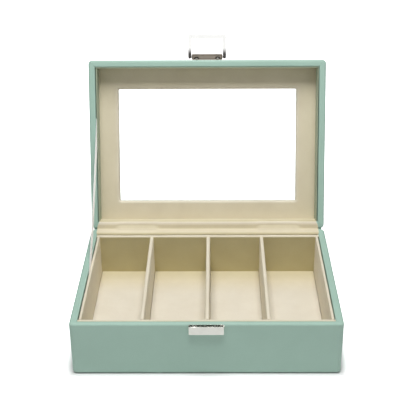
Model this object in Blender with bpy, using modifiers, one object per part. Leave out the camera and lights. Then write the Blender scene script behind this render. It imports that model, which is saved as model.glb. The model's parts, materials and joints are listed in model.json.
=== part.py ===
"""An eyeglasses organizer: a leatherette box with a velvet tray of four long compartments, a lid with a
glass window, two small butt hinges, a ribbon that stops the lid, and a loop hasp on the front.

Metres, +Z up, X to the right, the front faces -Y. The origin is the middle of the underside.
Every piece of the lid and of the hasp is drawn in its closed place. The empties lid_axis and hasp_axis
then turn them to the pose in which the box stands open.
"""

import math

import bmesh
import bpy
from mathutils import Matrix, Vector

for old in list(bpy.data.objects):
    bpy.data.objects.remove(old, do_unlink=True)

# Fits
TOUCH = 0.0003  # air between two pieces that meet
SKIN = 0.0009  # leatherette, or cloth, glued over the boards
OVERRUN = 0.003  # how far a cutter runs past the faces that it cuts
WELD = 0.00001

# Case
WIDTH = 0.280
DEPTH = 0.2004
BASE_HEIGHT = 0.0622
LID_HEIGHT = 0.031
SEAM = 0.0012  # between the two rims when the lid is shut
WALL = 0.0080  # a finished wall, skin to skin
FRONT_WALL = 0.0060  # the base's front wall
REAR_WALL = 0.0113  # the base's rear wall, which carries the hinges
CORNER_RADIUS = 0.0045
RIM_RADIUS = 0.0025
RIM_INNER_RADIUS = 0.0015
FOOT_RADIUS = 0.0014
MOUTH_CORNER = 0.0010
LEAST_CORNER = 0.0004
TURN_DOWN = 0.0150  # skin turned into the mouth
TURN_UNDER = 0.0120  # skin turned under the base
FELT = 0.0010
FELT_INSET = 0.0030
BOTTOM_BOARD = 0.0030
BOARD_EASE = 0.0006
CORNER_STEPS = 4
EDGE_STEPS = 3

# Stay ribbon
RIBBON_WIDTH = 0.0150
RIBBON_THICKNESS = 0.0004
RIBBON_AIR = 0.00025
RIBBON_BASE_REACH = 0.0810  # from the hinge axis to where it leaves the base's rim
RIBBON_LID_REACH = 0.1120  # from the hinge axis to where it leaves the lid's rim
RIBBON_TUCK = 0.0180  # hidden at each end
RIBBON_SAG = 0.0030
RIBBON_STEPS = 12

# Tray
SLOT = RIBBON_THICKNESS + 2 * RIBBON_AIR  # between the side walls and the tray
TRAY_FLOOR = 0.0025
TRAY_WALL = 0.0032
TRAY_REAR_WALL = 0.0044
TRAY_REAR_AIR = 0.0037
TRAY_EASE = 0.0013
DIVIDER = 0.0041
DIVIDER_SHIFTS = (-0.0011, 0.0008, -0.0011)  # how far each divider stands off its even place
CARD = 0.0058  # a padded, velvet-covered card on the floor of each compartment
CARD_EASE = 0.0005

# Lid window
OPEN_ANGLE = math.radians(109.3)
RECESS = 0.0220  # from the lid's rim to its inner panel
LINING = 0.0008
LINING_SETBACK = 0.0008
PANEL = 0.0040
PANEL_EDGE_RADIUS = 0.0032
WINDOW_SIDE = 0.0329  # from the outer face of the wall to the window
WINDOW_REAR = 0.0308
WINDOW_FRONT = 0.0343
WINDOW_CORNER = 0.0025
GLASS = 0.0018
GLASS_LAP = 0.0060
GLASS_EASE = 0.0003

# Hinges
HINGE_SHARE = 0.3036  # of the width, from the middle of the box to the middle of each hinge
HINGE_SPREAD = HINGE_SHARE * WIDTH
HINGE_LENGTH = 0.0380
KNUCKLES = 3
KNUCKLE_ROOT = math.radians(40)  # half the part of a knuckle's round that joins its leaf
BARREL_RADIUS = 0.0016
PIN_RADIUS = 0.0006
LEAF = 0.0008
LEAF_WIDTH = 0.0063
LEAF_SCREW_SPREAD = 0.0120
LEAF_SCREW_INSET = 0.0042  # from the hinge axis
LEAF_SCREW_RADIUS = 0.0007
LEAF_SCREW_HEAD_RADIUS = 0.0014
LEAF_SCREW_LENGTH = 0.0080
ROUND_STEPS = 16

# Catch and hasp
CATCH_WIDTH = 0.0364
CATCH_HEIGHT = 0.0102
CATCH_DEPTH = 0.0042
CATCH_DROP = 0.0003  # from the base's rim down to the catch
BRACKET_HEIGHT = 0.0100
BRACKET_DEPTH = 0.0068
BRACKET_LIFT = 0.0045  # from the lid's rim to the bracket
PLATE = 0.0008
BEND_RADIUS = 0.0011
BEND_STEPS = 2
PIVOT_LIFT = 0.0095  # from the lid's rim to the hasp's pivot
PIVOT_STANDOFF = 0.0035  # from the front wall to the hasp's pivot
LOOP_AIR = 0.0004  # between each leg and the cheek that it turns on
LOOP_LEG = 0.0038
LOOP_BAR = 0.0042
LOOP_THICKNESS = 0.0015
LOOP_UNDER = 0.0006  # between the catch and the loop's bar
LOOP_OUTER_CORNER = 0.0014
LOOP_INNER_CORNER = 0.0009
LOOP_EASE = 0.0003
PEG_RADIUS = 0.0006  # of the loop's ends, which turn in the bracket's cheeks
PEG_STICK_OUT = 0.0003  # inside the bracket
HEAD_SCREW_SPREAD = 0.0125
HEAD_SCREW_RADIUS = 0.0011
HEAD_SCREW_LENGTH = 0.0042  # behind the plate
CATCH_SCREW_HEAD_RADIUS = 0.0019
CATCH_SCREW_HEAD = 0.0012
BRACKET_SCREW_HEAD_RADIUS = 0.0033
BRACKET_SCREW_HEAD = 0.0027

# Levels and faces that the sizes above give
FRONT = -DEPTH / 2
REAR = DEPTH / 2
SIDE = WIDTH / 2
RIM = BASE_HEIGHT
HINGE_Z = RIM + SEAM / 2
LID_RIM = RIM + SEAM
LID_TOP = LID_RIM + LID_HEIGHT
COVER_FOOT = FELT + TOUCH
BOARD_FOOT = COVER_FOOT + SKIN + TOUCH
BOARD_OUT = SKIN + TOUCH  # from an outer face to the board under its skin
BOARD_IN = WALL - SKIN - TOUCH  # from an outer face to the board's inner face
FRONT_BOARD_IN = FRONT_WALL - SKIN - TOUCH
REAR_BOARD_IN = REAR_WALL - SKIN - TOUCH
PIVOT = Vector((0, FRONT - PIVOT_STANDOFF, LID_RIM + PIVOT_LIFT))
HINGE = Vector((0, REAR, HINGE_Z))


def collection(name):
    """A new collection in the scene."""
    made = bpy.data.collections.new(name)
    bpy.context.scene.collection.children.link(made)
    return made


PARTS = collection("eyeglasses_organizer")
CUTTERS = collection("cutters")


def linear(channel):
    """One 8-bit display value as linear light."""
    share = channel / 255
    return share / 12.92 if share <= 0.04045 else ((share + 0.055) / 1.055) ** 2.4


def material(name, colour, roughness, metallic=0.0, clear=0.0):
    """A Principled material; colour is 8-bit display values."""
    made = bpy.data.materials.new(name)
    made.use_nodes = True
    shader = made.node_tree.nodes["Principled BSDF"]
    shader.inputs["Base Color"].default_value = [linear(c) for c in colour] + [1]
    shader.inputs["Roughness"].default_value = roughness
    shader.inputs["Metallic"].default_value = metallic
    shader.inputs["Transmission Weight"].default_value = clear
    return made


LEATHERETTE = material("leatherette", (158, 188, 174), 0.55)
BOARD = material("board", (150, 116, 84), 0.8)
CLOTH = material("lining_cloth", (214, 202, 170), 0.9)
VELVET = material("velvet", (222, 212, 184), 0.95)
FELT_CLOTH = material("felt", (70, 72, 70), 1.0)
CLEAR_GLASS = material("clear_glass", (240, 246, 244), 0.03, clear=1.0)
CHROME = material("chrome", (214, 215, 214), 0.15, metallic=1.0)
STEEL = material("steel", (150, 150, 148), 0.35, metallic=1.0)
SATIN = material("satin_ribbon", (246, 247, 244), 0.45)


CLOSED = {}


def closed_place(parent):
    """Where a parent's origin is when the box is shut."""
    return CLOSED[parent.name] if parent else Vector()


def axis_empty(name, place, turn, parent=None):
    """An empty on a joint's axis; place is in the closed pose, and turn opens it about X."""
    made = bpy.data.objects.new(name, None)
    PARTS.objects.link(made)
    made.parent = parent
    made.location = Vector(place) - closed_place(parent)
    made.rotation_euler.x = turn
    CLOSED[name] = Vector(place)
    return made


LID = axis_empty("lid_axis", HINGE, -OPEN_ANGLE)
HASP = axis_empty("hasp_axis", PIVOT, -math.pi / 2, LID)


def add_object(name, mesh, finish=None, parent=None, centre=None):
    """Puts a mesh under its parent, with its own origin at centre in the closed pose. A mesh without a
    centre is drawn in place about its parent's origin, and one without a finish is a cutter."""
    made = bpy.data.objects.new(name, mesh)
    if finish:
        mesh.materials.append(finish)
        PARTS.objects.link(made)
    else:
        CUTTERS.objects.link(made)
        made.hide_render = True
        made.display_type = "WIRE"
    made.parent = parent
    if centre is not None:
        made.location = Vector(centre) - closed_place(parent)
    return made


def mesh_from(bm, name, parent=None):
    """Turns a bmesh into a mesh with its faces outwards, about its parent's origin."""
    bmesh.ops.recalc_face_normals(bm, faces=bm.faces)
    bmesh.ops.translate(bm, vec=-closed_place(parent), verts=bm.verts)
    mesh = bpy.data.meshes.new(name)
    bm.to_mesh(mesh)
    bm.free()
    return mesh


def smooth(piece):
    """Shades a round piece smooth, with its hard edges kept."""
    piece.data.shade_smooth()
    piece.data.set_sharp_from_angle(angle=math.radians(35))
    return piece


def ease(piece, width, steps=2):
    """Rounds a piece's edges."""
    bevel = piece.modifiers.new("eased_edges", "BEVEL")
    bevel.width = width
    bevel.segments = steps
    bevel.limit_method = "ANGLE"
    return piece


def combine(piece, operation, *tools):
    """Cuts a piece with each tool, or keeps only what lies inside each of them."""
    for tool in tools:
        step = piece.modifiers.new(tool.name, "BOOLEAN")
        step.operation = operation
        step.solver = "EXACT"
        step.object = tool
    return piece


def slab(name, low, high, finish=None, parent=None, edge=0.0, steps=2):
    """A board, bar or sheet between two corners, its edges eased."""
    low, high = Vector(low), Vector(high)
    bm = bmesh.new()
    bmesh.ops.create_cube(bm, size=1)
    bmesh.ops.scale(bm, vec=high - low, verts=bm.verts)
    piece = add_object(name, mesh_from(bm, name), finish, parent, (low + high) / 2)
    return ease(piece, edge, steps) if edge else piece


def grown(outline, by):
    """A rectangle (half width, front, rear, corner radius) grown by a distance on every side."""
    half, front, rear, corner = outline
    return half + by, front - by, rear + by, max(corner + by, LEAST_CORNER)


def ring(outline, z):
    """The points round a rectangle with round corners."""
    half, front, rear, corner = outline
    points = []
    for quarter, (x, y) in enumerate(((1, 1), (-1, 1), (-1, -1), (1, -1))):
        middle_x = x * (half - corner)
        middle_y = rear - corner if y > 0 else front + corner
        for step in range(CORNER_STEPS + 1):
            angle = (quarter + step / CORNER_STEPS) * math.pi / 2
            points.append((middle_x + corner * math.cos(angle), middle_y + corner * math.sin(angle), z))
    return points


def quarter_round(outline, level, radius, outward=1, up=1):
    """Section points from a wall's face round its edge to the level face.
    outward is 1 on an outer wall and -1 round a mouth; up is 1 for an upper edge and -1 for a lower."""
    points = []
    for step in range(EDGE_STEPS + 1):
        angle = step / EDGE_STEPS * math.pi / 2
        inset = outward * radius * (1 - math.cos(angle))
        points.append((grown(outline, -inset), level - up * radius * (1 - math.sin(angle))))
    return points


def carried_section(name, section, finish, parent=None):
    """A closed section carried round the case. Each of its points is a rectangle at a height, so a
    wall may be thicker on one side than on the others."""
    bm = bmesh.new()
    rings = [[bm.verts.new(point) for point in ring(outline, z)] for outline, z in section]
    for this, following in zip(rings, rings[1:] + rings[:1]):
        for here in range(len(this)):
            there = (here + 1) % len(this)
            bm.faces.new((this[here], this[there], following[there], following[here]))
    return smooth(add_object(name, mesh_from(bm, name, parent), finish, parent))


def rounded_block(name, outline, foot, head, edge, round_foot, parent=None):
    """The room inside a skin, to which boards are cut at its round corners and edges."""
    half, front, rear, corner = outline
    bm = bmesh.new()
    bmesh.ops.create_cube(bm, size=1)
    bmesh.ops.scale(bm, vec=(2 * half, rear - front, head - foot), verts=bm.verts)
    upright = [e for e in bm.edges if e.verts[0].co.z * e.verts[1].co.z < 0]
    bmesh.ops.bevel(bm, geom=upright, offset=corner, segments=CORNER_STEPS, profile=0.5, affect="EDGES")
    level = [e for e in bm.edges if e.verts[0].co.z * e.verts[1].co.z > 0]
    rounded = [e for e in level if round_foot or e.verts[0].co.z > 0]
    bmesh.ops.bevel(bm, geom=rounded, offset=edge, segments=EDGE_STEPS, profile=0.5, affect="EDGES")
    return add_object(name, mesh_from(bm, name), None, parent, (0, (front + rear) / 2, (foot + head) / 2))


def arc(centre, radius, first, sweep, steps):
    """The points of an arc, both ends included."""
    angles = [first + sweep * step / steps for step in range(steps + 1)]
    return [(centre[0] + radius * math.cos(a), centre[1] + radius * math.sin(a)) for a in angles]


def circle(centre, radius):
    """The points of a whole circle."""
    return arc(centre, radius, 0, 2 * math.pi, ROUND_STEPS)[:-1]


def round_corners(corners):
    """A closed flat outline from (across, along, radius) corners."""
    points = []
    for index, (across, along, radius) in enumerate(corners):
        here = Vector((across, along))
        to_last = (Vector(corners[index - 1][:2]) - here).normalized()
        to_next = (Vector(corners[(index + 1) % len(corners)][:2]) - here).normalized()
        if radius == 0:
            points.append(here)
            continue
        half_angle = to_last.angle(to_next) / 2
        centre = here + (to_last + to_next).normalized() * radius / math.sin(half_angle)
        start = here + to_last * radius / math.tan(half_angle) - centre
        end = here + to_next * radius / math.tan(half_angle) - centre
        sweep = -start.angle_signed(end)
        first = math.atan2(start.y, start.x)
        points += [Vector(point) for point in arc(centre, radius, first, sweep, CORNER_STEPS)]
    return [point for index, point in enumerate(points) if (point - points[index - 1]).length > WELD]


TURN_TO_YZ = Matrix.Rotation(math.pi / 2, 4, "Z") @ Matrix.Rotation(math.pi / 2, 4, "X")
TURN_TO_XZ = Matrix.Rotation(math.pi / 2, 4, "X")


def flat_piece(name, loops, half_thickness, turn, centre, finish, parent=None):
    """A flat outline, less the loops inside it, thickened to both sides of its plane."""
    curve = bpy.data.curves.new(name, "CURVE")
    curve.dimensions = "2D"
    curve.fill_mode = "BOTH"
    curve.extrude = half_thickness
    for loop in loops:
        spline = curve.splines.new("POLY")
        spline.points.add(len(loop) - 1)
        for point, (across, along) in zip(spline.points, loop):
            point.co = (across, along, 0, 1)
        spline.use_cyclic_u = True
    drawn = bpy.data.objects.new(name + "_outline", curve)
    PARTS.objects.link(drawn)
    drawn.matrix_world = turn
    bpy.context.view_layer.update()
    seen = drawn.evaluated_get(bpy.context.evaluated_depsgraph_get())
    bm = bmesh.new()
    bm.from_mesh(bpy.data.meshes.new_from_object(seen))
    bmesh.ops.remove_doubles(bm, verts=bm.verts, dist=WELD)
    bmesh.ops.transform(bm, matrix=drawn.matrix_world, verts=bm.verts)
    bpy.data.objects.remove(drawn, do_unlink=True)
    return add_object(name, mesh_from(bm, name), finish, parent, centre)


def turned(name, profile, places, finish=None, parent=None):
    """A body turned from a profile of (radius, distance) at each (place, direction), as one mesh."""
    bm = bmesh.new()
    for place, along in places:
        place, along = Vector(place), Vector(along)
        across = along.orthogonal().normalized()
        points = [bm.verts.new(place + across * radius + along * distance) for radius, distance in profile]
        edges = [bm.edges.new(pair) for pair in zip(points, points[1:])]
        bmesh.ops.spin(
            bm, geom=points + edges, cent=place, axis=along, angle=2 * math.pi, steps=ROUND_STEPS
        )
    bmesh.ops.remove_doubles(bm, verts=bm.verts, dist=WELD)
    return smooth(add_object(name, mesh_from(bm, name, parent), finish, parent))


def screws(name, profile, places, parent=None):
    """A screw of its own at each place."""
    for number, place in enumerate(places):
        turned(f"{name}_{number + 1}", profile, [place], STEEL, parent)


def open_box(name, low, high, open_up, finish, parent=None):
    """A pressed metal box of one sheet, open above or below."""
    low, high = Vector(low), Vector(high)
    bm = bmesh.new()
    bmesh.ops.create_cube(bm, size=1)
    bmesh.ops.scale(bm, vec=high - low, verts=bm.verts)
    bm.normal_update()
    mouth = [face for face in bm.faces if face.normal.z * (1 if open_up else -1) > 0.5]
    bmesh.ops.delete(bm, geom=mouth, context="FACES_ONLY")
    bends = [edge for edge in bm.edges if len(edge.link_faces) == 2]
    bmesh.ops.bevel(bm, geom=bends, offset=BEND_RADIUS, segments=BEND_STEPS, profile=0.5, affect="EDGES")
    piece = add_object(name, mesh_from(bm, name), finish, parent, (low + high) / 2)
    sheet = piece.modifiers.new("sheet", "SOLIDIFY")
    sheet.thickness = PLATE
    sheet.offset = -1
    sheet.use_even_offset = True
    return piece


OUTER = (SIDE, FRONT, REAR, CORNER_RADIUS)
BASE_MOUTH = (SIDE - WALL, FRONT + FRONT_WALL, REAR - REAR_WALL, MOUTH_CORNER)
LID_MOUTH = (SIDE - WALL, FRONT + WALL, REAR - WALL, MOUTH_CORNER)
WINDOW = (SIDE - WINDOW_SIDE, FRONT + WINDOW_FRONT, REAR - WINDOW_REAR, WINDOW_CORNER)
BOARD_ROOM = grown(OUTER, -BOARD_OUT)
LINING_HALF = SIDE - WALL + SKIN
HINGES = (("left", -HINGE_SPREAD), ("right", HINGE_SPREAD))


def hinge_notches(owner, parent, up):
    """Cutters that let one side's hinge leaves into its rim."""
    reach = BARREL_RADIUS + TOUCH + LEAF + TOUCH
    levels = sorted((HINGE_Z, HINGE_Z + up * reach))
    return [
        slab(
            f"{side}_{owner}_hinge_notch",
            (middle - HINGE_LENGTH / 2 - TOUCH, REAR - LEAF_WIDTH - TOUCH, levels[0]),
            (middle + HINGE_LENGTH / 2 + TOUCH, REAR + OVERRUN, levels[1]),
            parent=parent,
        )
        for side, middle in HINGES
    ]


def knuckle_gaps(side, middle, owner, parent, up):
    """Cutters that take the other leaf's knuckles out of a leaf's barrel."""
    half_knuckle = HINGE_LENGTH / KNUCKLES / 2
    if owner == "base":
        spans = [(-half_knuckle - TOUCH / 2, half_knuckle + TOUCH / 2)]
    else:
        inner, outer = half_knuckle - TOUCH / 2, HINGE_LENGTH / 2 + OVERRUN
        spans = [(-outer, -inner), (inner, outer)]
    clear = BARREL_RADIUS + TOUCH
    levels = sorted((HINGE_Z + up * clear, HINGE_Z - up * (clear + OVERRUN)))
    return [
        slab(
            f"{side}_{owner}_knuckle_gap_{number}",
            (middle + start, REAR - clear, levels[0]),
            (middle + end, REAR + clear, levels[1]),
            parent=parent,
        )
        for number, (start, end) in enumerate(spans)
    ]


def build_hinge_side(owner, parent, up):
    """One side's two leaves and their screws; returns the cutter of the screw holes."""
    leaf_face = BARREL_RADIUS + TOUCH
    first = KNUCKLE_ROOT - math.pi / 2
    barrel = arc((0, 0), BARREL_RADIUS, first, 2 * (math.pi - KNUCKLE_ROOT), ROUND_STEPS)
    outline = [(-LEAF_WIDTH, -leaf_face - LEAF), (0, -leaf_face - LEAF)]
    outline += barrel + [(barrel[-1][0], -leaf_face), (-LEAF_WIDTH, -leaf_face)]
    outline = [(y, -up * z) for y, z in outline]
    spots = [
        ((middle + way * LEAF_SCREW_SPREAD, REAR - LEAF_SCREW_INSET, HINGE_Z + up * leaf_face), (0, 0, up))
        for side, middle in HINGES
        for way in (-1, 1)
    ]
    head = LEAF_SCREW_HEAD_RADIUS
    shank = LEAF_SCREW_RADIUS
    screw = [(0, 0), (head, 0), (shank, head - shank)]
    screw += [(shank, LEAF_SCREW_LENGTH - shank), (0, LEAF_SCREW_LENGTH)]
    hole = [(0, -OVERRUN), (head + TOUCH, -OVERRUN), (head + TOUCH, 0), (shank + TOUCH, head - shank)]
    hole += [(shank + TOUCH, LEAF_SCREW_LENGTH + TOUCH), (0, LEAF_SCREW_LENGTH + TOUCH)]
    holes = turned(f"{owner}_hinge_screw_holes", hole, spots, parent=parent)
    screws(f"{owner}_hinge_screw", screw, spots, parent)
    for side, middle in HINGES:
        leaf = flat_piece(
            f"{side}_hinge_{owner}_leaf",
            [outline, circle((0, 0), PIN_RADIUS + TOUCH)],
            HINGE_LENGTH / 2,
            TURN_TO_YZ,
            (middle, REAR, HINGE_Z),
            STEEL,
            parent,
        )
        combine(leaf, "DIFFERENCE", *knuckle_gaps(side, middle, owner, parent, up), holes)
    return holes


def build_hinge_pins():
    """The pins, which stay in the base's knuckles."""
    profile = [(0, 0), (PIN_RADIUS, 0), (PIN_RADIUS, HINGE_LENGTH), (0, HINGE_LENGTH)]
    for side, middle in HINGES:
        start = (middle - HINGE_LENGTH / 2, REAR, HINGE_Z)
        turned(f"{side}_hinge_pin", profile, [(start, (1, 0, 0))], STEEL)


def hinge_lining(name, depth, level, leg, up, parent=None):
    """Cloth over a rear wall's rim and down its inner face. up is the side on which the wall lies."""
    corner = REAR - depth
    edge = REAR - RIM_RADIUS - TOUCH
    outline = round_corners(
        [
            (corner, 0, RIM_INNER_RADIUS),
            (edge, 0, 0),
            (edge, up * SKIN, 0),
            (corner + SKIN, up * SKIN, RIM_INNER_RADIUS - SKIN),
            (corner + SKIN, up * leg, 0),
            (corner, up * leg, 0),
        ]
    )
    return smooth(flat_piece(name, [outline], LINING_HALF, TURN_TO_YZ, (0, 0, level), CLOTH, parent))


def lining_cutter(name, depth, low, high, parent=None):
    """Takes the skin away where the hinge lining lies."""
    return slab(
        name,
        (-LINING_HALF - TOUCH, REAR - depth - TOUCH, low),
        (LINING_HALF + TOUCH, REAR - RIM_RADIUS, high),
        parent=parent,
    )


def face_screws(name, level, head_radius, head, parent=None):
    """Two dome head screws through a plate into a front board; returns the cutter of their holes."""
    seat = FRONT - TOUCH - PLATE - TOUCH
    spots = [((way * HEAD_SCREW_SPREAD, seat, level), (0, 1, 0)) for way in (-1, 1)]
    reach = PLATE + HEAD_SCREW_LENGTH
    dome = arc((0, 0), 1, -math.pi / 2, math.pi / 2, CORNER_STEPS)
    screw = [(across * head_radius, along * head) for across, along in dome]
    screw += [(HEAD_SCREW_RADIUS, 0), (HEAD_SCREW_RADIUS, reach), (0, reach)]
    wide, deep = HEAD_SCREW_RADIUS + TOUCH, reach + TOUCH
    hole = [(0, -PLATE), (wide, -PLATE), (wide, deep), (0, deep)]
    screws(name, screw, spots, parent)
    return turned(name + "_holes", hole, spots, parent=parent)


def build_base():
    """The base's skin, boards, felt, catch and hinge lining."""
    rim = RIM
    inner_skin = grown(OUTER, -SKIN)
    under = grown(OUTER, -TURN_UNDER)
    mouth_back = grown(BASE_MOUTH, SKIN)
    section = [(under, COVER_FOOT)]
    section += quarter_round(OUTER, COVER_FOOT, FOOT_RADIUS, up=-1)[::-1]
    section += quarter_round(OUTER, rim, RIM_RADIUS)
    section += quarter_round(BASE_MOUTH, rim, RIM_INNER_RADIUS, outward=-1)[::-1]
    section += [(BASE_MOUTH, rim - TURN_DOWN), (mouth_back, rim - TURN_DOWN)]
    section += quarter_round(mouth_back, rim - SKIN, RIM_INNER_RADIUS - SKIN, outward=-1)
    section += quarter_round(inner_skin, rim - SKIN, RIM_RADIUS - SKIN)[::-1]
    section += quarter_round(inner_skin, COVER_FOOT + SKIN, FOOT_RADIUS - SKIN, up=-1)
    section += [(under, COVER_FOOT + SKIN)]
    cover = carried_section("base_cover", section, LEATHERETTE)

    notches = hinge_notches("base", None, -1)
    hinge_holes = build_hinge_side("base", None, -1)
    catch_top = rim - CATCH_DROP
    catch_holes = face_screws(
        "catch_screw", catch_top - CATCH_HEIGHT / 2, CATCH_SCREW_HEAD_RADIUS, CATCH_SCREW_HEAD
    )
    lining_room = lining_cutter("base_lining_room", REAR_WALL, rim - TURN_DOWN - OVERRUN, rim + OVERRUN)
    combine(cover, "DIFFERENCE", lining_room, *notches, catch_holes)
    hinge_lining("base_hinge_lining", REAR_WALL, rim, TURN_DOWN, -1)

    head = rim - BOARD_OUT
    room = rounded_block("base_board_room", BOARD_ROOM, BOARD_FOOT, head, RIM_RADIUS - BOARD_OUT, False)
    front_in, rear_in = FRONT + FRONT_BOARD_IN, REAR - REAR_BOARD_IN
    side_out, side_in = SIDE - BOARD_OUT, SIDE - BOARD_IN
    front = slab(
        "base_front_board",
        (-side_out, FRONT + BOARD_OUT, BOARD_FOOT),
        (side_out, front_in, head),
        BOARD,
        edge=BOARD_EASE,
    )
    rear = slab(
        "base_rear_board",
        (-side_out, rear_in, BOARD_FOOT),
        (side_out, REAR - BOARD_OUT, head),
        BOARD,
        edge=BOARD_EASE,
    )
    combine(front, "INTERSECT", room)
    combine(front, "DIFFERENCE", catch_holes)
    combine(rear, "INTERSECT", room)
    combine(rear, "DIFFERENCE", *notches, hinge_holes)
    for side, way in (("left", -1), ("right", 1)):
        across = sorted((way * side_in, way * side_out))
        board = slab(
            f"base_{side}_board",
            (across[0], front_in + TOUCH, BOARD_FOOT),
            (across[1], rear_in - TOUCH, head),
            BOARD,
            edge=BOARD_EASE,
        )
        combine(board, "INTERSECT", room)
    slab(
        "base_bottom_board",
        (-side_in + TOUCH, front_in + TOUCH, BOARD_FOOT),
        (side_in - TOUCH, rear_in - TOUCH, BOARD_FOOT + BOTTOM_BOARD),
        BOARD,
        edge=BOARD_EASE,
    )
    slab(
        "base_felt",
        (-SIDE + FELT_INSET, FRONT + FELT_INSET, 0),
        (SIDE - FELT_INSET, REAR - FELT_INSET, FELT),
        FELT_CLOTH,
        edge=TOUCH,
        steps=1,
    )
    half = CATCH_WIDTH / 2
    catch = open_box(
        "catch_plate",
        (-half, FRONT - TOUCH - CATCH_DEPTH, catch_top - CATCH_HEIGHT),
        (half, FRONT - TOUCH, catch_top),
        True,
        CHROME,
    )
    combine(catch, "DIFFERENCE", catch_holes)


def build_tray():
    """The velvet tray: floor, walls, dividers and a velvet-covered card in each compartment."""
    side_out = SIDE - WALL - SLOT
    side_in = side_out - TRAY_WALL
    front_out = FRONT + FRONT_WALL + TOUCH
    rear_out = REAR - REAR_WALL - TRAY_REAR_AIR
    front_in, rear_in = front_out + TRAY_WALL, rear_out - TRAY_REAR_WALL
    floor_foot = BOARD_FOOT + BOTTOM_BOARD + TOUCH
    floor_top = floor_foot + TRAY_FLOOR
    foot = floor_top + TOUCH
    low, high = (-side_out, front_out, floor_foot), (side_out, rear_out, floor_top)
    slab("tray_floor", low, high, VELVET, edge=TOUCH)
    spans = {
        "tray_front_wall": ((-side_out, front_out), (side_out, front_in)),
        "tray_rear_wall": ((-side_out, rear_in), (side_out, rear_out)),
        "tray_left_wall": ((-side_out, front_in + TOUCH), (-side_in, rear_in - TOUCH)),
        "tray_right_wall": ((side_in, front_in + TOUCH), (side_out, rear_in - TOUCH)),
    }
    for name, (low, high) in spans.items():
        slab(name, (*low, foot), (*high, RIM), VELVET, edge=TRAY_EASE, steps=EDGE_STEPS)
    pitch = (2 * side_in + DIVIDER) / (len(DIVIDER_SHIFTS) + 1)
    edges = [-side_in]
    for number, shift in enumerate(DIVIDER_SHIFTS, 1):
        right = -side_in + number * pitch + shift
        left = right - DIVIDER
        edges += [left, right]
        slab(
            f"divider_{number}",
            (left, front_in + TOUCH, foot),
            (right, rear_in - TOUCH, RIM),
            VELVET,
            edge=TRAY_EASE,
            steps=EDGE_STEPS,
        )
    edges += [side_in]
    for number, (left, right) in enumerate(zip(edges[::2], edges[1::2]), 1):
        slab(
            f"compartment_floor_{number}",
            (left + TOUCH, front_in + TOUCH, foot),
            (right - TOUCH, rear_in - TOUCH, foot + CARD),
            VELVET,
            edge=CARD_EASE,
        )


def build_ribbon():
    """The stay ribbon, on edge between the left wall and the tray, with a slight sag."""
    lid_exit = Matrix.Rotation(-OPEN_ANGLE, 2) @ Vector((-RIBBON_LID_REACH, SEAM / 2))
    base_exit = Vector((-RIBBON_BASE_REACH, -SEAM / 2))
    chord = lid_exit - base_exit
    run = chord.normalized()
    down = Vector((run.y, -run.x))
    tuck = RIBBON_TUCK / chord.length
    near, far = [], []
    for step in range(RIBBON_STEPS + 1):
        along = -tuck + (1 + 2 * tuck) * step / RIBBON_STEPS
        middle = base_exit + chord * along + down * 4 * RIBBON_SAG * along * (1 - along)
        near.append(middle - down * RIBBON_WIDTH / 2)
        far.append(middle + down * RIBBON_WIDTH / 2)
    centre = (-SIDE + WALL + SLOT / 2, REAR, HINGE_Z)
    flat_piece("stay_ribbon", [near + far[::-1]], RIBBON_THICKNESS / 2, TURN_TO_YZ, centre, SATIN)


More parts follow.
